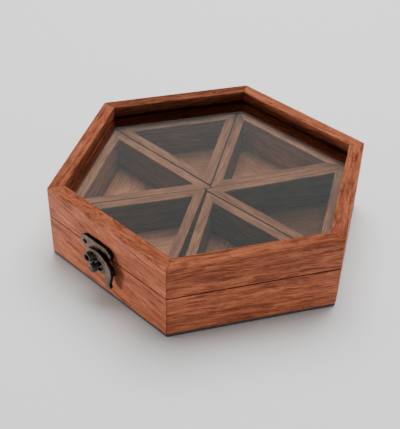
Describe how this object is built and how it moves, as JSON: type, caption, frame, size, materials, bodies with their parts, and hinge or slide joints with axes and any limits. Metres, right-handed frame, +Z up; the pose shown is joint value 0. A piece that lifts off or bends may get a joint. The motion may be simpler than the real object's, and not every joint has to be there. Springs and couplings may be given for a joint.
{
  "type": "spice box masala dabba",
  "caption": "Hexagonal hardwood spice box with a hinged glass-topped lid, loose triangular wooden trays and an antique bronze swing-hook latch.",
  "frame": {"origin": "centre of the underside", "axes": "+Z up, +X along the hinge line and from corner to corner of the hexagon, -Y out through the latch side, +Y out through the hinge side"},
  "size_m": [0.2034, 0.1874, 0.05],
  "materials": {
    "case_wood": "reddish brown rosewood, satin oil finish, dark streaked grain",
    "tray_wood": "brown rosewood, thin oil finish",
    "base_board": "near-black stained board, matt",
    "lid_glass": "clear float glass",
    "antique_bronze": "antique bronze, dark in the recesses, rubbed faces, green patina",
    "latch_screw": "blackened bronze",
    "hinge_brass": "aged brass, satin",
    "hinge_screw": "aged brass, satin"
  },
  "bodies": {
    "base": {"base_panel": "base_board", "base_wall_back": "case_wood", "base_wall_back_left": "case_wood", "base_wall_back_right": "case_wood", "base_wall_front": "case_wood", "base_wall_front_left": "case_wood", "base_wall_front_right": "case_wood", "catch_plate": "antique_bronze", "catch_plate_screws": "latch_screw", "catch_post": "antique_bronze", "hinge_left_base_leaf": "hinge_brass", "hinge_right_base_leaf": "hinge_brass", "hinge_left_pin": "hinge_brass", "hinge_right_pin": "hinge_brass", "hinge_screws_base": "hinge_screw"},
    "lid": {"lid_glass": "lid_glass", "lid_rail_back": "case_wood", "lid_rail_back_left": "case_wood", "lid_rail_back_right": "case_wood", "lid_rail_front": "case_wood", "lid_rail_front_left": "case_wood", "lid_rail_front_right": "case_wood", "hinge_left_lid_leaf": "hinge_brass", "hinge_right_lid_leaf": "hinge_brass", "hinge_screws_lid": "hinge_screw", "latch_plate": "antique_bronze", "latch_plate_screws": "latch_screw", "latch_rivet": "antique_bronze"},
    "latch_hook": {"latch_hook": "antique_bronze"},
    "tray_front": {"tray_front_floor": "tray_wood", "tray_front_rim": "tray_wood", "tray_front_side_a": "tray_wood", "tray_front_side_b": "tray_wood"},
    "tray_front_right": {"tray_front_right_floor": "tray_wood", "tray_front_right_rim": "tray_wood", "tray_front_right_side_a": "tray_wood", "tray_front_right_side_b": "tray_wood"},
    "tray_back_right": {"tray_back_right_floor": "tray_wood", "tray_back_right_rim": "tray_wood", "tray_back_right_side_a": "tray_wood", "tray_back_right_side_b": "tray_wood"},
    "tray_back": {"tray_back_floor": "tray_wood", "tray_back_rim": "tray_wood", "tray_back_side_a": "tray_wood", "tray_back_side_b": "tray_wood"},
    "tray_back_left": {"tray_back_left_floor": "tray_wood", "tray_back_left_rim": "tray_wood", "tray_back_left_side_a": "tray_wood", "tray_back_left_side_b": "tray_wood"},
    "tray_front_left": {"tray_front_left_floor": "tray_wood", "tray_front_left_rim": "tray_wood", "tray_front_left_side_a": "tray_wood", "tray_front_left_side_b": "tray_wood"}
  },
  "joints": [
    {"name": "lid_hinge", "type": "hinge", "parent": "base", "child": "lid", "pos_m": [0, 0.08733, 0.0294], "axis": [-1, 0, 0], "range_deg": [0, 110]},
    {"name": "hook_pivot", "type": "hinge", "parent": "lid", "child": "latch_hook", "pos_m": [-0.0056, -0.09233, 0.0291], "axis": [0, -1, 0], "range_deg": [0, 120]},
    {"name": "tray_front_lift", "type": "slide", "parent": "base", "child": "tray_front", "axis": [0, 0, 1], "range_m": [0, 0.0072]},
    {"name": "tray_front_right_lift", "type": "slide", "parent": "base", "child": "tray_front_right", "axis": [0, 0, 1], "range_m": [0, 0.0072]},
    {"name": "tray_back_right_lift", "type": "slide", "parent": "base", "child": "tray_back_right", "axis": [0, 0, 1], "range_m": [0, 0.0072]},
    {"name": "tray_back_lift", "type": "slide", "parent": "base", "child": "tray_back", "axis": [0, 0, 1], "range_m": [0, 0.0072]},
    {"name": "tray_back_left_lift", "type": "slide", "parent": "base", "child": "tray_back_left", "axis": [0, 0, 1], "range_m": [0, 0.0072]},
    {"name": "tray_front_left_lift", "type": "slide", "parent": "base", "child": "tray_front_left", "axis": [0, 0, 1], "range_m": [0, 0.0072]}
  ]
}
